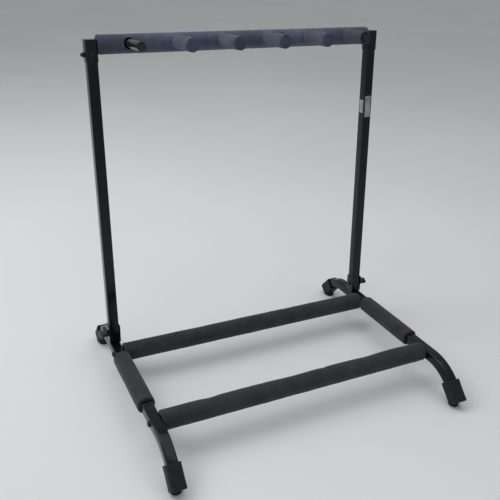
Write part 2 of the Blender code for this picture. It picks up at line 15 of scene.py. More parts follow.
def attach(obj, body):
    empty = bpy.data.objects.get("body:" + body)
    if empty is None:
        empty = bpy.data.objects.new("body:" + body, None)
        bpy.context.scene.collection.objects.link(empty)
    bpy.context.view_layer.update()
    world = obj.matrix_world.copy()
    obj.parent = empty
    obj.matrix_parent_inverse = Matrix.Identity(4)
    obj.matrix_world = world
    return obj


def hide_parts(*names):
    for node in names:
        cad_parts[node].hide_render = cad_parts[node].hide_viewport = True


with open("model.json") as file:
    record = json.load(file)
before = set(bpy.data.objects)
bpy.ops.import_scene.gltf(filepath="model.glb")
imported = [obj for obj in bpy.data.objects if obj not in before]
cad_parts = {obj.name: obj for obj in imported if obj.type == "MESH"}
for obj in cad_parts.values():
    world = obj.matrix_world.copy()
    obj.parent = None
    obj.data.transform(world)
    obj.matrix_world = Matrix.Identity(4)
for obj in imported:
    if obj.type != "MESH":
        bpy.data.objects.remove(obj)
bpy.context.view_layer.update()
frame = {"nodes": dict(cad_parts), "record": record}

MM = 0.001
GAP = 0.3 * MM
TINY = 0.02 * MM
TUBE_WALL = 1.2 * MM

# Local frames
TIP = math.radians(1.7)
LEAN = math.radians(3.0)
SINK = 6.6 * MM
PIVOT = Vector((0.0, 133.5 * MM, 94.5 * MM))
BASE = (Matrix.Translation((0.0, 1.35 * MM, -SINK))
        @ Matrix.Rotation(-TIP, 4, "X"))
NECK = BASE @ Matrix.Translation(PIVOT) @ Matrix.Rotation(-LEAN, 4, "X")

# Legs
LEG_X = 288.2 * MM
LEG_WIDTH = 20.2 * MM
LEG_HEIGHT = 20.4 * MM
LEG_CORNER = 3.0 * MM
LEG_Z = 65.5 * MM
LEG_BEND = math.radians(47.0)
FRONT = {"way": -1, "straight": 157.5 * MM, "radius": 91.0 * MM, "length": 26.0 * MM}
REAR = {"way": 1, "straight": 177.5 * MM, "radius": 62.0 * MM, "length": 21.5 * MM}
BOOT_START = -9.0 * MM
BOOT_TOE = 9.0 * MM
BOOT_WALL = 3.6 * MM
SOLE_INSET = 12.0 * MM
SOLE_RADIUS = 10.0 * MM
SOLE_DISH = 0.35 * MM
SOLE_HEIGHT = 14.0 * MM
BOOT_CORNER = 4.2 * MM

# Crossbars and sleeves
BAR_RADIUS = 9.5 * MM
FRONT_BAR_Y = -134.9 * MM
REAR_BAR_Y = 97.3 * MM
FOAM_RADIUS = 18.4 * MM
FOAM_END = 277.1 * MM
SLEEVE_FRONT_Y = -85.5 * MM
SLEEVE_REAR_Y = 78.9 * MM
SLEEVE_RADIUS = 17.4 * MM
FOAM_SIDES = 72
FOAM_SPACING = 3.2 * MM
FOAM_SHRINK = 0.25 * MM

# Neck frame
POST_X = 287.9 * MM
POST_SIZE = 19.05 * MM
POST_CORNER = 1.6 * MM
POST_TAIL = 13.5 * MM
FRAME_TOP = 567.0 * MM
SOCKET_WALL = 0.8 * MM
SOCKET_DEPTH = 38.0 * MM
SOCKET_HALF = POST_SIZE / 2 + GAP + SOCKET_WALL
NECK_BAR_Z = FRAME_TOP - 9.6 * MM
NECK_FOAM_RADIUS = 17.0 * MM
NECK_FOAM_END = 276.5 * MM
SOCKET_BOLT_Z = FRAME_TOP - 25.5 * MM
BOLT_DENT_RADIUS = 5.4 * MM
BOLT_DENTS = ((267.5 * MM, 290.0 * MM), (-290.0 * MM, -273.0 * MM))
PEG_PITCH = 89.0 * MM
PEG_RADIUS = 7.9 * MM
TORN_RADIUS = PEG_RADIUS + 2.2 * MM
PEG_BORE = 6.6 * MM
PEG_RISE = 1.6 * MM
PEG_REACH = 85.5 * MM
PEG_COUNT = 6
PEG_FOAM_RADIUS = 12.6 * MM
PEG_FOAM_REACH = 91.5 * MM
BARE_PEGS = (1,)
SLID_PEG = 6
SLID_FOAM_REACH = 81.0 * MM
LABEL_Z = 413.0 * MM
# Where foam starts and stops growing darker towards both ends of its bar
DARKEN_START = 150.0 * MM
DARKEN_END = 262.0 * MM

# Pivot hardware and fasteners
SHANK_RADIUS = 3.0 * MM
HEAD_GAP = 0.3 * GAP
CLEVIS_HALF = POST_SIZE / 2 + GAP + 1.5 * MM
WASHER_THICKNESS = 1.2 * MM
KNOB_LENGTH = 15.5 * MM

SIDES = {"left": -1, "right": 1}


# Materials

class Nodes:
    """Small helper for building one material's node tree."""

    def __init__(self, name):
        self.material = bpy.data.materials.new(name)
        self.material.use_nodes = True
        self.tree = self.material.node_tree
        self.shader = self.tree.nodes["Principled BSDF"]
        self.place = self.add("ShaderNodeTexCoord").outputs["Object"]

    def add(self, kind, **settings):
        node = self.tree.nodes.new(kind)
        for key, value in settings.items():
            setattr(node, key, value)
        return node

    def link(self, source, target):
        self.tree.links.new(source, target)

    def set(self, **values):
        for key, value in values.items():
            self.shader.inputs[key.replace("_", " ")].default_value = value

    def stretched(self, scale):
        mapping = self.add("ShaderNodeMapping")
        mapping.inputs["Scale"].default_value = scale
        self.link(self.place, mapping.inputs["Vector"])
        return mapping.outputs["Vector"]

    def noise(self, scale, detail=4.0, roughness=0.55, stretch=None):
        node = self.add("ShaderNodeTexNoise")
        node.inputs["Scale"].default_value = scale
        node.inputs["Detail"].default_value = detail
        node.inputs["Roughness"].default_value = roughness
        self.link(self.stretched(stretch) if stretch else self.place, node.inputs["Vector"])
        return node.outputs["Fac"]

    def cells(self, scale):
        node = self.add("ShaderNodeTexVoronoi")
        node.inputs["Scale"].default_value = scale
        self.link(self.place, node.inputs["Vector"])
        return node.outputs["Distance"]

    def ramp(self, source, stops):
        node = self.add("ShaderNodeValToRGB")
        ramp = node.color_ramp
        while len(ramp.elements) < len(stops):
            ramp.elements.new(0.5)
        for element, (at, color) in zip(ramp.elements, stops):
            element.position = at
            element.color = (*color, 1.0) if len(color) == 3 else color
        self.link(source, node.inputs["Fac"])
        return node.outputs["Color"]

    def span(self, source, low, high, start=0.3, end=0.7):
        node = self.add("ShaderNodeMapRange")
        node.inputs["From Min"].default_value = start
        node.inputs["From Max"].default_value = end
        node.inputs["To Min"].default_value = low
        node.inputs["To Max"].default_value = high
        self.link(source, node.inputs["Value"])
        return node.outputs["Result"]

    def mix(self, factor, first, second, how="MIX"):
        node = self.add("ShaderNodeMix", data_type="RGBA", blend_type=how)
        for value, socket in ((factor, node.inputs[0]), (first, node.inputs[6]),
                              (second, node.inputs[7])):
            if isinstance(value, bpy.types.NodeSocket):
                self.link(value, socket)
            else:
                socket.default_value = value
        return node.outputs[2]

    def bump(self, height, strength, distance, before=None):
        node = self.add("ShaderNodeBump")
        node.inputs["Strength"].default_value = strength
        node.inputs["Distance"].default_value = distance
        self.link(height, node.inputs["Height"])
        if before:
            self.link(before, node.inputs["Normal"])
        return node.outputs["Normal"]

    def along_bar(self, end_share):
        """A factor that falls from one in the middle of the rack to a share at both sides."""
        split = self.add("ShaderNodeSeparateXYZ")
        self.link(self.place, split.inputs["Vector"])
        size = self.add("ShaderNodeMath", operation="ABSOLUTE")
        self.link(split.outputs["X"], size.inputs[0])
        return self.span(size.outputs["Value"], 1.0, end_share, DARKEN_START, DARKEN_END)

    def finish(self, color, rough, normal=None):
        self.link(color, self.shader.inputs["Base Color"])
        self.link(rough, self.shader.inputs["Roughness"])
        if normal:
            self.link(normal, self.shader.inputs["Normal"])
        return self.material


def gray(value, tint=(1.0, 1.0, 1.0)):
    return tuple(value * t for t in tint)


def foam_material(name, level, tint, end_level=1.0):
    """Closed-cell foam: fine pores, soft two-tone mottling, and pale scuffs where handled.

    The foam is made darker towards both ends of its bar, down to the share given by end_level.
    """
    m = Nodes(name)
    mottle = m.noise(30.0, 5.0, 0.62)
    color = m.ramp(mottle, [(0.30, gray(level * 0.60, tint)), (0.50, gray(level, tint)),
                            (0.74, gray(level * 1.45, tint))])
    cool = m.ramp(m.noise(46.0, 3.0, 0.5), [(0.36, (0.86, 1.0, 0.92)), (0.50, gray(1.0)),
                                            (0.64, (1.06, 0.90, 1.10))])
    color = m.mix(0.85, color, cool, "MULTIPLY")
    grain = m.noise(900.0, 2.0, 0.6)
    speck = m.ramp(grain, [(0.35, gray(0.55)), (0.62, gray(1.0))])
    color = m.mix(0.7, color, speck, "MULTIPLY")
    scuffs = m.ramp(m.noise(55.0, 6.0, 0.72, (1.0, 1.6, 1.6)),
                    [(0.60, gray(0.0)), (0.74, gray(1.0))])
    scuffed_color = m.mix(scuffs, color, (*gray(level * 1.9, tint), 1.0))
    # Darker towards both ends of the bar, down to end_level of the colour
    scuffed_color = m.mix(1.0, scuffed_color, m.along_bar(end_level), "MULTIPLY")
    rough = m.span(mottle, 0.80, 0.97)
    pores = m.cells(620.0)
    normal = m.bump(pores, 0.45, 0.4 * MM)
    normal = m.bump(m.noise(140.0, 4.0, 0.6), 0.45, 0.9 * MM, normal)
    m.set(Specular_IOR_Level=0.2, Sheen_Weight=0.10, Sheen_Roughness=0.6)
    return m.finish(scuffed_color, rough, normal)


def paint_material(name, ior):
    """Gloss black paint: slight orange peel, dust haze and fine rubbed patches."""
    m = Nodes(name)
    haze = m.noise(35.0, 6.0, 0.62)
    color = m.ramp(haze, [(0.35, (0.0030, 0.0031, 0.0048)), (0.62, (0.0048, 0.0050, 0.0072)),
                          (0.8, (0.011, 0.012, 0.015))])
    specks = m.ramp(m.noise(700.0, 2.0, 0.5), [(0.70, gray(0.0)), (0.78, gray(1.0))])
    color = m.mix(specks, color, (0.03, 0.03, 0.033, 1.0))
    rough = m.span(m.noise(60.0, 5.0, 0.7), 0.10, 0.27)
    normal = m.bump(m.noise(420.0, 2.0, 0.5), 0.10, 0.15 * MM)
    m.set(Metallic=0.0, IOR=ior, Coat_Weight=0.0)
    return m.finish(color, rough, normal)


def rubber_material():
    """Moulded rubber with a fine matt grain and a little dust."""
    m = Nodes("rack_black_rubber")
    dust = m.noise(70.0, 6.0, 0.65)
    color = m.ramp(dust, [(0.35, (0.0055, 0.0065, 0.0095)), (0.65, (0.010, 0.0115, 0.0155)),
                          (0.85, (0.028, 0.030, 0.033))])
    rough = m.span(dust, 0.45, 0.68)
    normal = m.bump(m.noise(1100.0, 2.0, 0.5), 0.30, 0.12 * MM)
    normal = m.bump(m.noise(90.0, 3.0, 0.5), 0.15, 0.4 * MM, normal)
    m.set(Specular_IOR_Level=0.26)
    return m.finish(color, rough, normal)


def plastic_material():
    """Black moulded plastic, satin, with rubbed spots."""
    m = Nodes("rack_black_plastic")
    wear = m.noise(120.0, 5.0, 0.65)
    color = m.ramp(wear, [(0.35, (0.009, 0.009, 0.010)), (0.7, (0.017, 0.017, 0.019)),
                          (0.85, (0.04, 0.04, 0.042))])
    rough = m.span(wear, 0.30, 0.48)
    normal = m.bump(m.noise(900.0, 2.0, 0.5), 0.18, 0.08 * MM)
    m.set(Specular_IOR_Level=0.5)
    return m.finish(color, rough, normal)


def zinc_material():
    """Black zinc hardware: dark metal with lighter rubbed flecks."""
    m = Nodes("rack_black_zinc")
    wear = m.noise(260.0, 5.0, 0.6)
    color = m.ramp(wear, [(0.35, (0.018, 0.018, 0.021)), (0.66, (0.035, 0.036, 0.04)),
                          (0.8, (0.16, 0.16, 0.165))])
    rough = m.span(wear, 0.28, 0.45)
    normal = m.bump(m.noise(800.0, 2.0, 0.5), 0.15, 0.06 * MM)
    m.set(Metallic=0.85)
    return m.finish(color, rough, normal)


def sticker_material():
    """Blank white film, slightly yellowed and rubbed."""
    m = Nodes("rack_sticker_film")
    grime = m.noise(90.0, 6.0, 0.7)
    color = m.ramp(grime, [(0.36, (0.12, 0.13, 0.14)), (0.52, (0.28, 0.29, 0.29)),
                           (0.75, (0.42, 0.43, 0.42))])
    rough = m.span(grime, 0.38, 0.6)
    normal = m.bump(m.noise(300.0, 3.0, 0.5), 0.12, 0.1 * MM)
    return m.finish(color, rough, normal)


def floor_material():
    m = Nodes("studio_floor")
    shade = m.noise(1.3, 3.0, 0.5)
    color = m.ramp(shade, [(0.3, (0.70, 0.71, 0.70)), (0.7, (0.74, 0.75, 0.74))])
    rough = m.span(shade, 0.85, 0.95)
    m.set(Specular_IOR_Level=0.12)
    return m.finish(color, rough)


PAINT = paint_material("rack_black_paint", 1.36)
PEG_PAINT = paint_material("rack_peg_paint", 1.5)
NECK_FOAM = foam_material("rack_neck_foam", 0.094, (0.86, 1.0, 1.52), 0.55)
# Peg covers use a darker copy of the neck foam: painted shade that dims the covers' lit sides and
# discs
PEG_FOAM_PAINTED_SHADE = foam_material("rack_peg_foam_painted_shade", 0.062, (0.86, 1.0, 1.58), 0.50)
BASE_FOAM = foam_material("rack_base_foam", 0.029, (0.96, 1.0, 1.14))
RUBBER = rubber_material()
PLASTIC = plastic_material()
ZINC = zinc_material()
FILM = sticker_material()
SLOT_MATERIALS = {"black_paint": PAINT, "charcoal_foam": BASE_FOAM, "black_rubber": RUBBER,
                  "black_plastic": PLASTIC, "black_zinc": ZINC, "sticker_film": FILM}


def finish_cad_nodes():
    """Better materials and smooth shading on the CAD nodes that stay shown."""
    slots = {s["node"]: s["material_slot"] for s in frame["record"]["subparts"]}
    for name, node in frame["nodes"].items():
        node.data.materials.clear()
        node.data.materials.append(SLOT_MATERIALS[slots[name]])
        node.data.shade_smooth()
        node.data.set_sharp_from_angle(angle=math.radians(35))


# Mesh building

def piece(name, work, finish, body, nodes=(), place=Matrix.Identity(4), angle=35.0):
    """A finished mesh, moved to the row frame, riding on its body in place of CAD nodes."""
    mesh = bpy.data.meshes.new(name)
    bmesh.ops.recalc_face_normals(work, faces=work.faces)
    work.to_mesh(mesh)
    work.free()
    mesh.transform(place)
    obj = bpy.data.objects.new(name, mesh)
    bpy.context.scene.collection.objects.link(obj)
    mesh.materials.append(finish)
    mesh.shade_smooth()
    mesh.set_sharp_from_angle(angle=math.radians(angle))
    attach(obj, body)
    if nodes:
        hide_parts(*nodes)
    return obj


def loft(rings, ring_loop=False):
    """Quads between equal rings of points, capped at both ends, or joined last to first."""
    work = bmesh.new()
    rows = [[work.verts.new(p) for p in ring] for ring in rings]
    count = len(rows[0])
    pairs = list(zip(rows, rows[1:]))
    if ring_loop:
        pairs.append((rows[-1], rows[0]))
    for low, high in pairs:
        for i in range(count):
            j = (i + 1) % count
            work.faces.new((low[i], low[j], high[j], high[i]))
    if not ring_loop:
        work.faces.new(rows[0])
        work.faces.new(rows[-1])
    return work


def circle(radius, height, sides):
    """Points of a level circle about Z."""
    return [Vector((radius * math.cos(2 * math.pi * i / sides),
                    radius * math.sin(2 * math.pi * i / sides), height))
            for i in range(sides)]


def turned(profile, sides=48, hollow=False):
    """Lathe of (radius, height) points about Z. Zero radii are drawn in to a small point."""
    rings = [circle(max(radius, TINY), height, sides) for radius, height in profile]
    return loft(rings, ring_loop=hollow)


def stacked(levels):
    """Rings at their heights, from (section, height) pairs."""
    return [[Vector((a, b, z)) for a, b in section] for section, z in levels]


def rounded_rectangle(width, height, corner, steps=6):
    """Points of a rectangle about the origin, with rounded corners."""
    points = []
    for quarter, (sx, sy) in enumerate(((1, 1), (-1, 1), (-1, -1), (1, -1))):
        cx = sx * (width / 2 - corner)
        cy = sy * (height / 2 - corner)
        for i in range(steps + 1):
            angle = math.pi / 2 * (quarter + i / steps)
            points.append((cx + corner * math.cos(angle), cy + corner * math.sin(angle)))
    return points


def arc(center, radius, start, stop, steps):
    """Points on a circle arc in the profile plane, angles in degrees."""
    points = []
    for i in range(steps + 1):
        angle = math.radians(start + (stop - start) * i / steps)
        points.append((center[0] + radius * math.cos(angle),
                       center[1] + radius * math.sin(angle)))
    return points


def combined(first, second, operation="UNION"):
    """EXACT Boolean of two bmesh works, as a new work."""
    objects = []
    for label, work in (("a", first), ("b", second)):
        mesh = bpy.data.meshes.new("boolean_" + label)
        bmesh.ops.recalc_face_normals(work, faces=work.faces)
        work.to_mesh(mesh)
        work.free()
        obj = bpy.data.objects.new("boolean_" + label, mesh)
        bpy.context.scene.collection.objects.link(obj)
        objects.append(obj)
    step = objects[0].modifiers.new("join", "BOOLEAN")
    step.operation = operation
    step.solver = "EXACT"
    step.object = objects[1]
    bpy.context.view_layer.update()
    graph = bpy.context.evaluated_depsgraph_get()
    result = bmesh.new()
    result.from_object(objects[0], graph)
    for obj in objects:
        data = obj.data
        bpy.data.objects.remove(obj, do_unlink=True)
        bpy.data.meshes.remove(data)
    return result


def rod(radius, start, end, sides=48):
    return turned([(radius, start), (radius, end)], sides)


def prism(radius, start, end, sides=6, chamfer=0.0):
    """A regular prism about Z, with chamfered ends if asked for."""
    profile = [(radius, start), (radius, end)]
    if chamfer:
        profile = [(radius - chamfer, start), (radius, start + chamfer),
                   (radius, end - chamfer), (radius - chamfer, end)]
    return turned(profile, sides)


def move(work, matrix):
    bmesh.ops.transform(work, matrix=matrix, verts=work.verts)
    return work


# Legs

def end_point(end, distance):
    """Centre of a leg's sloping end, measured from where its bend stops."""
    y = end["straight"] + end["radius"] * math.sin(LEG_BEND) + distance * math.cos(LEG_BEND)
    z = LEG_Z - end["radius"] * (1 - math.cos(LEG_BEND)) - distance * math.sin(LEG_BEND)
    return y, z


def leg_stations():
    """(y, z, slope) along the centre line of a leg, front end first."""
    steps = 28
    runs = []
    for end in (FRONT, REAR):
        run = [(0.0, LEG_Z, 0.0)] if end is REAR else []
        for i in range(steps + 1):
            angle = LEG_BEND * i / steps
            run.append((end["straight"] + end["radius"] * math.sin(angle),
                        LEG_Z - end["radius"] * (1 - math.cos(angle)), -angle))
        run.append((*end_point(end, end["length"]), -LEG_BEND))
        runs.append(run)
    front, rear = runs
    return [(-y, z, -slope) for y, z, slope in reversed(front)] + rear


def build_leg(side, sign):
    """The bent square tube of one side, hollow from end to end."""
    outer = rounded_rectangle(LEG_WIDTH, LEG_HEIGHT, LEG_CORNER, 6)
    inner = rounded_rectangle(LEG_WIDTH - 2 * TUBE_WALL, LEG_HEIGHT - 2 * TUBE_WALL,
                              LEG_CORNER - TUBE_WALL, 6)
    stations = leg_stations()
    rings = []
    for section, along in ((outer, stations), (inner, stations[::-1])):
        for y, z, slope in along:
            side_way = Vector((1, 0, 0))
            up = Vector((0, -math.sin(slope), math.cos(slope)))
            center = Vector((sign * LEG_X, y, z))
            rings.append([center + side_way * a + up * b for a, b in section])
    piece(f"{side}_leg_tube", loft(rings, ring_loop=True), PAINT, "base",
          [f"{side}_leg"], BASE)


def boot_rings(end):
    """(distance down the leg, inset) of a boot's rings, from its flat toe up and over the rim."""
    toe = end["length"] + BOOT_TOE
    soft = 2.6 * MM
    toe_rings = [(toe - soft * (1 - math.cos(math.pi / 2 * i / 6)),
                  soft * (1 - math.sin(math.pi / 2 * i / 6))) for i in range(7)]
    side_rings = [(toe - (toe - BOOT_START) * t, 0.2 * MM * math.sin(math.pi * t))
                  for t in (0.25, 0.45, 0.65, 0.85)]
    lip = 1.1 * MM
    inside = BOOT_WALL - 0.6 * MM
    rim_rings = [(BOOT_START + lip, 0.0), (BOOT_START + 0.3 * lip, 0.3 * lip),
                 (BOOT_START, lip), (BOOT_START, inside - 0.6 * MM),
                 (BOOT_START + 0.5 * lip, inside), (BOOT_START + 5.0 * MM, inside)]
    return toe_rings + side_rings + rim_rings


def build_foot(side, sign, place, end):
    """A rubber boot over a leg's end, with a round dished sole that stands on the floor."""
    width = LEG_WIDTH + 2 * BOOT_WALL
    depth = LEG_HEIGHT + 2 * BOOT_WALL
    way = end["way"]
    along = Vector((0, way * math.cos(LEG_BEND), -math.sin(LEG_BEND)))
    up = Vector((0, way * math.sin(LEG_BEND), math.cos(LEG_BEND)))
    rings = []
    for distance, inset in boot_rings(end):
        y, z = end_point(end, distance)
        center = Vector((sign * LEG_X, way * y, z))
        corner = max(BOOT_CORNER - inset, 1.0 * MM)
        section = rounded_rectangle(width - 2 * inset, depth - 2 * inset, corner, 6)
        rings.append([center + Vector((a, 0, 0)) + up * b for a, b in section])
    work = loft(rings)
    stop_y, _ = end_point(end, end["length"] + BOOT_TOE)
    sole_y = way * (stop_y - SOLE_INSET)
    floor_z = sole_y * math.tan(TIP) + SINK
    round_edge = 1.6 * MM
    profile = ([(0.0, SOLE_DISH), (SOLE_RADIUS - 4.0 * MM, SOLE_DISH),
                (SOLE_RADIUS - 3.6 * MM, 0.0)]
               + arc((SOLE_RADIUS - round_edge, round_edge), round_edge, -90, 0, 5)
               + [(SOLE_RADIUS - 0.4 * MM, SOLE_HEIGHT), (0.0, SOLE_HEIGHT)])
    sole = move(turned(profile), Matrix.Translation((sign * LEG_X, sole_y, floor_z))
                @ Matrix.Rotation(TIP, 4, "X"))
    work = combined(work, sole)
    piece(f"{side}_{place}_boot", work, RUBBER, "base",
          [f"{side}_{place}_foot"], BASE, 50.0)


# Foam

def wander(point, seed, size):
    """Smooth signed noise at a point, for a feature size in metres."""
    return noise.noise(Vector(point) / size + Vector((seed * 7.3, seed * 3.1, seed * 5.7)))


def foam_skin(point, seed):
    """How far foam stands out of its nominal surface: soft waves, dents and a pebbled skin."""
    long_wave = 0.30 * MM * wander((point[0] * 0.6, point[1] * 0.6, point[2] * 0.6), seed, 28 * MM)
    lumps = 0.22 * MM * wander(point, seed + 2, 9 * MM)
    skin = 0.07 * MM * wander(point, seed + 5, 2.2 * MM)
    return long_wave + lumps + skin


def pressed(dents, angle, z):
    """Depth pressed into foam at a place, from dents of (z, length, angle, depth)."""
    depth = 0.0
    for place, length, aim, deep in dents:
        across = math.cos(angle - math.radians(aim))
        if across > 0:
            depth += deep * across ** 2 * math.exp(-((z - place) / length) ** 2)
    return depth


def foam_end(radius, bore, half, rim):
    """(radius, position) from the bore over the rounded outer edge of a foam tube's end."""
    return ([(bore, half), (bore + 0.3 * (radius - bore), half - 0.25 * MM), (radius - rim, half)]
            + arc((radius - rim, half - rim), rim, 80, 10, 5))


def foam_bar(radius, bore, half, seed, rim=1.4 * MM, dents=()):
    """A foam tube about Z with an uneven skin, rounded ends, a bore and pressed-in places."""
    end = foam_end(radius, bore, half, rim)
    count = int(2 * (half - rim) / FOAM_SPACING)
    middle = [(radius, (half - rim) * (1 - 2 * i / count)) for i in range(count + 1)]
    outline = end + middle + [(r, -z) for r, z in reversed(end)]
    rings = []
    for r, z in outline:
        depth = (r - bore) / (radius - bore)
        ring = []
        for i in range(FOAM_SIDES):
            angle = 2 * math.pi * i / FOAM_SIDES
            out = Vector((math.cos(angle), math.sin(angle), 0))
            point = Vector((r * math.cos(angle), r * math.sin(angle), z))
            push = foam_skin(point, seed) - pressed(dents, angle, z)
            ring.append(point + out * (push - FOAM_SHRINK) * depth)
        rings.append(ring)
    return loft(rings, ring_loop=True)


ALONG_X = Matrix.Rotation(math.pi / 2, 4, "Y")
FORWARD = Matrix.Rotation(math.pi / 2, 4, "X")


# Places pressed into the crossbar foam: (along the bar, length, direction, depth).
# The direction is in degrees about the bar, with 180 straight up.
FRONT_DENTS = ((-185 * MM, 13 * MM, 165, 1.7 * MM), (-15 * MM, 42 * MM, 165, 1.2 * MM),
               (52 * MM, 7 * MM, 172, 1.4 * MM), (148 * MM, 20 * MM, 165, 1.5 * MM),
               (212 * MM, 34 * MM, 160, -1.0 * MM))
REAR_DENTS = ((-120 * MM, 30 * MM, 170, 0.6 * MM), (95 * MM, 14 * MM, 160, 0.7 * MM),
              (190 * MM, 24 * MM, 200, 0.5 * MM))


def build_crossbar_foam(place, y, seed, dents):
    work = foam_bar(FOAM_RADIUS, BAR_RADIUS + GAP, FOAM_END, seed, dents=dents)
    move(work, Matrix.Translation((0, y, LEG_Z)) @ ALONG_X)
    foam = piece(f"{place}_bar_foam", work, BASE_FOAM, "base",
                 [f"{place}_crossbar_foam"], BASE, 60.0)


def build_leg_sleeve(side, sign, seed):
    """Foam drawn over the square leg: a square bore, and an outside between round and square."""
    half = (SLEEVE_REAR_Y - SLEEVE_FRONT_Y) / 2
    middle = (SLEEVE_REAR_Y + SLEEVE_FRONT_Y) / 2
    bore = LEG_WIDTH / 2 + GAP
    work = foam_bar(SLEEVE_RADIUS, bore * 1.18, half, seed, rim=2.6 * MM)
    for vert in work.verts:
        x, y = vert.co.x, vert.co.y
        radius = math.hypot(x, y)
        if radius < bore * 1.25:
            scale = bore / max(abs(x), abs(y))
        else:
            scale = 0.985 - 0.03 * math.cos(4 * math.atan2(y, x))
        vert.co.x = x * scale
        vert.co.y = y * scale
    move(work, Matrix.Translation((sign * LEG_X, middle, LEG_Z)) @ FORWARD)
    foam = piece(f"{side}_sleeve_foam", work, BASE_FOAM, "base",
                 [f"{side}_leg_sleeve"], BASE, 60.0)


def peg_x(number):
    return (number - (PEG_COUNT + 1) / 2) * PEG_PITCH


def build_neck_foam():
    """The neck bar's foam, torn open at bare pegs and pressed in by the socket bolts."""
    work = foam_bar(NECK_FOAM_RADIUS, BAR_RADIUS + GAP, NECK_FOAM_END, 11)
    move(work, Matrix.Translation((0, 0, NECK_BAR_Z)) @ ALONG_X)
    for number in BARE_PEGS:
        hole = rod(TORN_RADIUS, 2.0 * MM, 40.0 * MM)
        move(hole, Matrix.Translation((peg_x(number), 0, NECK_BAR_Z + PEG_RISE)) @ FORWARD)
        work = combined(work, hole, "DIFFERENCE")
    for start, end in BOLT_DENTS:
        dent = move(rod(BOLT_DENT_RADIUS, start, end, 32),
                    Matrix.Translation((0, 0, SOCKET_BOLT_Z)) @ ALONG_X)
        work = combined(work, dent, "DIFFERENCE")
    foam = piece("neck_foam", work, NECK_FOAM, "neck_frame",
                 ["neck_bar_foam"], NECK, 50.0)


def peg_foam_tip(slid):
    """(radius, reach) over the end of a peg's cover: a soft closed disc, or a split open end."""
    radius = PEG_FOAM_RADIUS
    if slid:
        reach, rim, bore = SLID_FOAM_REACH, 1.8 * MM, PEG_RADIUS + GAP
        return ([(bore, reach - 6.0 * MM), (bore, reach - 1.0 * MM), (bore + 1.0 * MM, reach)]
                + arc((radius - rim, reach - rim), rim, 85, 5, 5))
    reach, rim = PEG_FOAM_REACH, 1.5 * MM
    return ([(0.05 * MM, reach - 0.5 * MM), (0.45 * radius, reach - 0.35 * MM),
             (0.8 * radius, reach - 0.1 * MM)]
            + arc((radius - rim, reach - rim), rim, 85, 5, 5))


def build_peg_foam(number):
    """Foam over a peg, with a saddle where it meets the bar's foam."""
    sides = 56
    slid = number == SLID_PEG
    tip = peg_foam_tip(slid)
    shoulder = tip[-1][1]
    saddle = NECK_FOAM_RADIUS + 0.1 * MM
    steps = 24
    stations = [(r, y, 0.0) for r, y in tip]
    stations += [(PEG_FOAM_RADIUS, shoulder, i / steps) for i in range(1, steps + 1)]
    if slid:
        stations.append((PEG_RADIUS + GAP, shoulder, 1.0))
    rings = []
    for r, y, slide in stations:
        ring = []
        for i in range(sides):
            angle = 2 * math.pi * i / sides
            x = r * math.cos(angle)
            z = r * math.sin(angle)
            base = math.sqrt(saddle ** 2 - (z + PEG_RISE) ** 2)
            point = Vector((x, -(y + (base - y) * slide), z))
            push = (foam_skin(point, 20 + number) - 0.15 * MM) * min(1.0, r / PEG_FOAM_RADIUS)
            ring.append(point + Vector((math.cos(angle), 0, math.sin(angle))) * push)
        rings.append(ring)
    work = loft(rings, ring_loop=slid)
    move(work, Matrix.Translation((peg_x(number), 0, NECK_BAR_Z + PEG_RISE)))
    # Covered in the darker peg foam, which carries painted shade
    foam = piece(f"peg_{number}_cover", work, PEG_FOAM_PAINTED_SHADE, "neck_frame",
                 [f"peg_foam_{number}"], NECK, 50.0)


def build_bare_peg(number):
    """A peg's open steel tube with its plastic end plug."""
    rim = 0.45 * MM
    root = 8.0 * MM
    tube = ([(PEG_RADIUS, root)]
            + arc((PEG_RADIUS - rim, PEG_REACH - rim), rim, 0, 90, 4)
            + arc((PEG_BORE + rim, PEG_REACH - rim), rim, 90, 180, 4)
            + [(PEG_BORE, PEG_REACH - 14.0 * MM), (PEG_BORE, root)])
    place = Matrix.Translation((peg_x(number), 0, NECK_BAR_Z + PEG_RISE)) @ FORWARD
    piece(f"bare_peg_{number}", move(turned(tube, 64, hollow=True), place), PEG_PAINT,
          "neck_frame", [f"peg_{number}"], NECK)
    top = PEG_REACH - 0.8 * MM
    radius = PEG_BORE - 0.15 * MM
    plug = ([(0.0, top - 0.9 * MM), (radius - 2.6 * MM, top - 0.8 * MM),
             (radius - 2.0 * MM, top - 0.1 * MM)]
            + arc((radius - 0.5 * MM, top - 0.5 * MM), 0.5 * MM, 90, 0, 4)
            + [(radius, top - 8.0 * MM), (0.0, top - 8.0 * MM)])
    piece(f"bare_peg_plug_{number}", move(turned(plug, 64), place), PLASTIC,
          "neck_frame", [f"peg_plug_{number}"], NECK)


# Uprights, sockets and labels

def square_tube(size, corner, low, high):
    """A square tube about Z, with its cut ends slightly broken on the outside."""
    outer = rounded_rectangle(size, size, corner, 6)
    inside = size - 2 * TUBE_WALL
    inner = rounded_rectangle(inside, inside, corner - TUBE_WALL, 6)
    edge = 0.25 * MM
    shrunk = rounded_rectangle(size - 2 * edge, size - 2 * edge, corner - edge, 6)
    levels = [(shrunk, high), (outer, high - edge)]
    levels += [(outer, low + edge), (shrunk, low), (inner, low), (inner, high)]
    return loft(stacked(levels), ring_loop=True)


def build_upright(side, sign):
    """The square tube of one side of the neck frame, open at its foot."""
    top = FRAME_TOP - SOCKET_WALL - GAP
    work = move(square_tube(POST_SIZE, POST_CORNER, -POST_TAIL, top),
                Matrix.Translation((sign * POST_X, 0, 0)))
    piece(f"{side}_post_tube", work, PAINT, "neck_frame",
          [f"{side}_upright"], NECK)


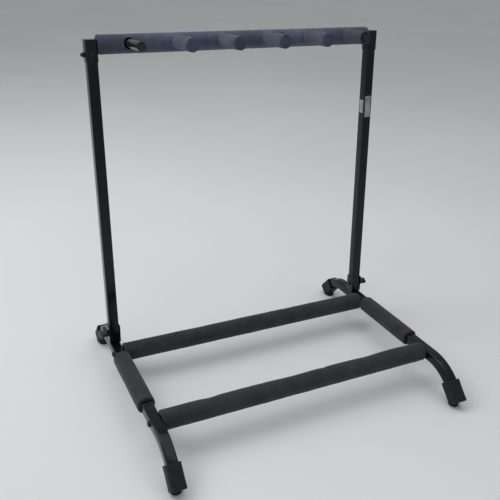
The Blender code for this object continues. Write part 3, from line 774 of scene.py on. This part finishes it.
def build_socket(side, sign):
    """Thin painted cap sleeve over the top of an upright, closed at the top."""
    size = 2 * SOCKET_HALF
    low = FRAME_TOP - SOCKET_DEPTH
    corner = 1.9 * MM
    lip = 0.2 * MM
    edge = 0.7 * MM
    inside = POST_SIZE + 2 * GAP
    inner = rounded_rectangle(inside, inside, 1.3 * MM, 6)
    levels = [(inner, FRAME_TOP - SOCKET_WALL), (inner, low),
              (rounded_rectangle(size - 2 * lip, size - 2 * lip, corner - lip, 6), low),
              (rounded_rectangle(size, size, corner, 6), low + lip)]
    for i in range(5):
        angle = math.pi / 2 * i / 4
        shrink = edge * (1 - math.cos(angle))
        section = rounded_rectangle(size - 2 * shrink, size - 2 * shrink,
                                    corner - shrink * 0.8, 6)
        levels.append((section, FRAME_TOP - edge + edge * math.sin(angle)))
    work = loft(stacked(levels))
    move(work, Matrix.Translation((sign * POST_X, 0, 0)))
    piece(f"{side}_socket_cap", work, PAINT, "neck_frame",
          [f"{side}_neck_socket"], NECK)


def build_label(name, width, height, place, node):
    """A blank sticker with rounded corners and a slightly bevelled top edge."""
    thickness = 0.22 * MM
    section = rounded_rectangle(width, height, 1.2 * MM, 5)
    rings = []
    for z, inset in ((0.0, 0.0), (thickness * 0.7, 0.0), (thickness, 0.12 * MM)):
        scale_x = (width - 2 * inset) / width
        scale_y = (height - 2 * inset) / height
        rings.append([Vector((a * scale_x, b * scale_y, z)) for a, b in section])
    piece(name, move(loft(rings), place), FILM, "neck_frame", [node], NECK)


def build_labels():
    out = POST_SIZE / 2 + 0.03 * MM
    front = Matrix.Translation((POST_X, -out, LABEL_Z)) @ Matrix.Rotation(math.pi / 2, 4, "X")
    inner = (Matrix.Translation((POST_X - out, 0, LABEL_Z))
             @ Matrix.Rotation(-math.pi / 2, 4, "Y") @ Matrix.Rotation(math.pi / 2, 4, "Z"))
    build_label("front_sticker", 14.0 * MM, 44.0 * MM, front, "front_label")
    build_label("inner_sticker", 14.0 * MM, 27.0 * MM, inner, "inner_label")


# Fasteners

def face_out(sign):
    return Matrix.Rotation(sign * math.pi / 2, 4, "Y")


def button_head(radius, height, shank, socket=0.0, slot=0.0):
    """Domed screw head above its shank, with a hexagon socket or a cross slot."""
    dome = [(0.0, height)]
    for i in range(1, 9):
        angle = math.pi / 2 * i / 8
        dome.append((radius * math.sin(angle), height * (0.35 + 0.65 * math.cos(angle))))
    dome += [(radius, 0.0), (SHANK_RADIUS, 0.0), (SHANK_RADIUS, -shank), (0.0, -shank)]
    work = turned(dome, 48)
    if socket:
        work = combined(work, prism(socket, height * 0.3, height * 1.5), "DIFFERENCE")
    if slot:
        for turn in (0, math.pi / 2):
            bar = bmesh.new()
            bmesh.ops.create_cube(bar, size=1.0)
            bmesh.ops.scale(bar, vec=(radius * 1.1, slot, height * 1.2), verts=bar.verts)
            move(bar, Matrix.Translation((0, 0, height)) @ Matrix.Rotation(turn, 4, "Z"))
            work = combined(work, bar, "DIFFERENCE")
    return work


def build_crossbar_bolt(side, sign, place, y):
    work = button_head(radius=6.0 * MM, height=4.0 * MM, shank=12.0 * MM, socket=2.3 * MM)
    move(work, Matrix.Translation((sign * (LEG_X + LEG_WIDTH / 2 + HEAD_GAP), y, LEG_Z))
         @ face_out(sign))
    piece(f"{side}_{place}_bolt_head", work, ZINC, "base",
          [f"{side}_{place}_crossbar_bolt"], BASE)


def build_pivot_bolt(side, sign):
    work = button_head(radius=5.2 * MM, height=2.4 * MM, shank=33.0 * MM, socket=2.0 * MM)
    move(work, Matrix.Translation((sign * (POST_X - CLEVIS_HALF - HEAD_GAP), *PIVOT.yz))
         @ face_out(-sign))
    piece(f"{side}_pivot_screw", work, ZINC, "base",
          [f"{side}_pivot_bolt"], BASE)


def build_washer(side, sign):
    edge = 0.25 * MM
    bore = 3.3 * MM
    radius = 7.0 * MM
    top = WASHER_THICKNESS
    ring = [(bore, top), (radius - edge, top), (radius, top - edge), (radius, edge),
            (radius - edge, 0.0), (bore, 0.0)]
    work = move(turned(ring, hollow=True),
                Matrix.Translation((sign * (POST_X + CLEVIS_HALF + GAP), *PIVOT.yz))
                @ face_out(sign))
    piece(f"{side}_washer", work, ZINC, "base", [f"{side}_pivot_washer"], BASE)


def build_socket_fasteners(side, sign):
    """The cross-slot bolt through a socket, its dome nut, and the screw in the socket's front."""
    across = Matrix.Translation((sign * POST_X + SOCKET_HALF + HEAD_GAP, 0, SOCKET_BOLT_Z))
    bolt = button_head(radius=3.6 * MM, height=1.6 * MM, shank=20.0 * MM, slot=0.7 * MM)
    piece(f"{side}_cap_bolt", move(bolt, across @ face_out(1)), ZINC, "neck_frame",
          [f"{side}_socket_bolt"], NECK)
    dome_radius = 3.5 * MM
    dome_base = 4.0 * MM
    dome_rise = 3.6 * MM
    dome = [(0.0, dome_base + dome_rise)]
    for i in range(1, 8):
        angle = math.pi / 2 * i / 7
        dome.append((dome_radius * math.sin(angle), dome_base + dome_rise * math.cos(angle)))
    dome += [(dome_radius, dome_base / 2), (0.0, dome_base / 2)]
    hexagon = prism(4.7 * MM, 0.0, 3.6 * MM, chamfer=0.4 * MM)
    nut = combined(hexagon, turned(dome, 40))
    across = Matrix.Translation((sign * POST_X - SOCKET_HALF - HEAD_GAP, 0, SOCKET_BOLT_Z))
    piece(f"{side}_dome_nut", move(nut, across @ face_out(-1)), ZINC, "neck_frame",
          [f"{side}_socket_nut"], NECK)
    screw = button_head(radius=4.6 * MM, height=2.2 * MM, shank=6.0 * MM, slot=0.9 * MM)
    ahead = Matrix.Translation((sign * POST_X, -SOCKET_HALF - HEAD_GAP, SOCKET_BOLT_Z))
    piece(f"{side}_cap_screw", move(screw, ahead @ FORWARD), ZINC, "neck_frame",
          [f"{side}_socket_screw"], NECK)


def build_knob(side, sign):
    """Moulded wing knob: a round hub with two rounded wings, smoothed into one body."""
    hub_radius = 7.0 * MM
    edge = 1.6 * MM
    hub = turned([(0.0, KNOB_LENGTH - 0.3 * MM), (hub_radius - 2.0 * MM, KNOB_LENGTH)]
                 + arc((hub_radius - edge, KNOB_LENGTH - edge), edge, 80, 0, 4)
                 + [(hub_radius, 0.6 * MM), (hub_radius - 0.6 * MM, 0.0), (0.0, 0.0)])
    wing_reach, wing_width, wing_depth = 13.8 * MM, 5.6 * MM, 3.4 * MM
    wings = bmesh.new()
    bmesh.ops.create_uvsphere(wings, u_segments=32, v_segments=20, radius=1.0)
    for vert in wings.verts:
        pinch = 0.72 + 0.28 * min(1.0, abs(vert.co.x) * 1.5)
        vert.co = Vector((vert.co.x * wing_reach, vert.co.y * wing_width * pinch,
                          vert.co.z * wing_depth))
    move(wings, Matrix.Translation((0, 0, KNOB_LENGTH - 4.2 * MM))
         @ Matrix.Rotation(math.radians(78), 4, "Z"))
    work = combined(hub, wings)
    move(work, Matrix.Translation((sign * (POST_X + CLEVIS_HALF + 2 * GAP + WASHER_THICKNESS),
                                   *PIVOT.yz)) @ face_out(sign))
    knob = piece(f"{side}_knob_grip", work, PLASTIC, f"{side}_knob",
                 [f"{side}_wing_knob"], BASE, 60.0)
    soft = knob.modifiers.new("moulded", "REMESH")
    soft.mode = "VOXEL"
    soft.voxel_size = 0.45 * MM
    soft.use_smooth_shade = True
    relax = knob.modifiers.new("relax", "SMOOTH")
    relax.factor = 0.5
    relax.iterations = 6


def soften_brackets():
    """Slightly rounded edges on the pivot brackets."""
    for side in SIDES:
        node = frame["nodes"][f"{side}_pivot_bracket"]
        weld = node.modifiers.new("weld", "WELD")
        weld.merge_threshold = 0.02 * MM
        edge = node.modifiers.new("edge", "BEVEL")
        edge.width = 0.35 * MM
        edge.segments = 2
        edge.limit_method = "ANGLE"
        edge.angle_limit = math.radians(40)
        edge.use_clamp_overlap = True


# Studio

CAMERA_PLACE = (-0.5541, -1.0112, 0.8390)
CAMERA_TURN = (64.051, -2.119, -25.194)
CAMERA_LENS = 48.51


def build_floor():
    work = bmesh.new()
    bmesh.ops.create_grid(work, x_segments=2, y_segments=2, size=40.0)
    mesh = bpy.data.meshes.new("studio_floor")
    work.to_mesh(mesh)
    work.free()
    floor = bpy.data.objects.new("studio_floor", mesh)
    bpy.context.scene.collection.objects.link(floor)
    mesh.materials.append(floor_material())


def area_light(name, place, target, size, power):
    data = bpy.data.lights.new(name, "AREA")
    data.shape = "RECTANGLE"
    data.size, data.size_y = size
    data.energy = power
    lamp = bpy.data.objects.new(name, data)
    lamp.location = place
    aim = Vector(target) - Vector(place)
    lamp.rotation_euler = aim.to_track_quat("-Z", "Y").to_euler()
    bpy.context.scene.collection.objects.link(lamp)


def build_lights():
    world = bpy.data.worlds.new("studio")
    bpy.context.scene.world = world
    world.use_nodes = True
    sky = world.node_tree.nodes["Background"]
    sky.inputs["Color"].default_value = (0.93, 0.97, 1.0, 1.0)
    sky.inputs["Strength"].default_value = 0.42
    area_light("key", (-1.3, 0.9, 2.1), (0.0, 0.0, 0.3), (1.6, 1.6), 26.0)
    area_light("left_window", (-1.9, -1.3, 0.9), (0.0, 0.0, 0.35), (0.5, 1.6), 6.0)
    area_light("overhead", (0.4, -0.2, 2.6), (0.0, 0.0, 0.0), (2.4, 2.4), 18.0)


def build_camera():
    data = bpy.data.cameras.new("camera")
    data.sensor_width = 36.0
    data.lens = CAMERA_LENS
    camera = bpy.data.objects.new("camera", data)
    camera.location = CAMERA_PLACE
    camera.rotation_euler = Euler([math.radians(a) for a in CAMERA_TURN])
    bpy.context.scene.collection.objects.link(camera)
    bpy.context.scene.camera = camera
    bpy.context.scene.view_settings.view_transform = "Standard"


def build_rack():
    finish_cad_nodes()
    soften_brackets()
    for side, sign in SIDES.items():
        build_leg(side, sign)
        build_foot(side, sign, "front", FRONT)
        build_foot(side, sign, "rear", REAR)
        build_leg_sleeve(side, sign, 3 + sign)
        build_crossbar_bolt(side, sign, "front", FRONT_BAR_Y)
        build_crossbar_bolt(side, sign, "rear", REAR_BAR_Y)
        build_pivot_bolt(side, sign)
        build_washer(side, sign)
        build_knob(side, sign)
        build_upright(side, sign)
        build_socket(side, sign)
        build_socket_fasteners(side, sign)
    build_crossbar_foam("front", FRONT_BAR_Y, 6, FRONT_DENTS)
    build_crossbar_foam("rear", REAR_BAR_Y, 8, REAR_DENTS)
    build_neck_foam()
    for number in range(1, PEG_COUNT + 1):
        if number in BARE_PEGS or number == SLID_PEG:
            build_bare_peg(number)
        if number not in BARE_PEGS:
            build_peg_foam(number)
    build_labels()


build_rack()
build_floor()
build_lights()
build_camera()
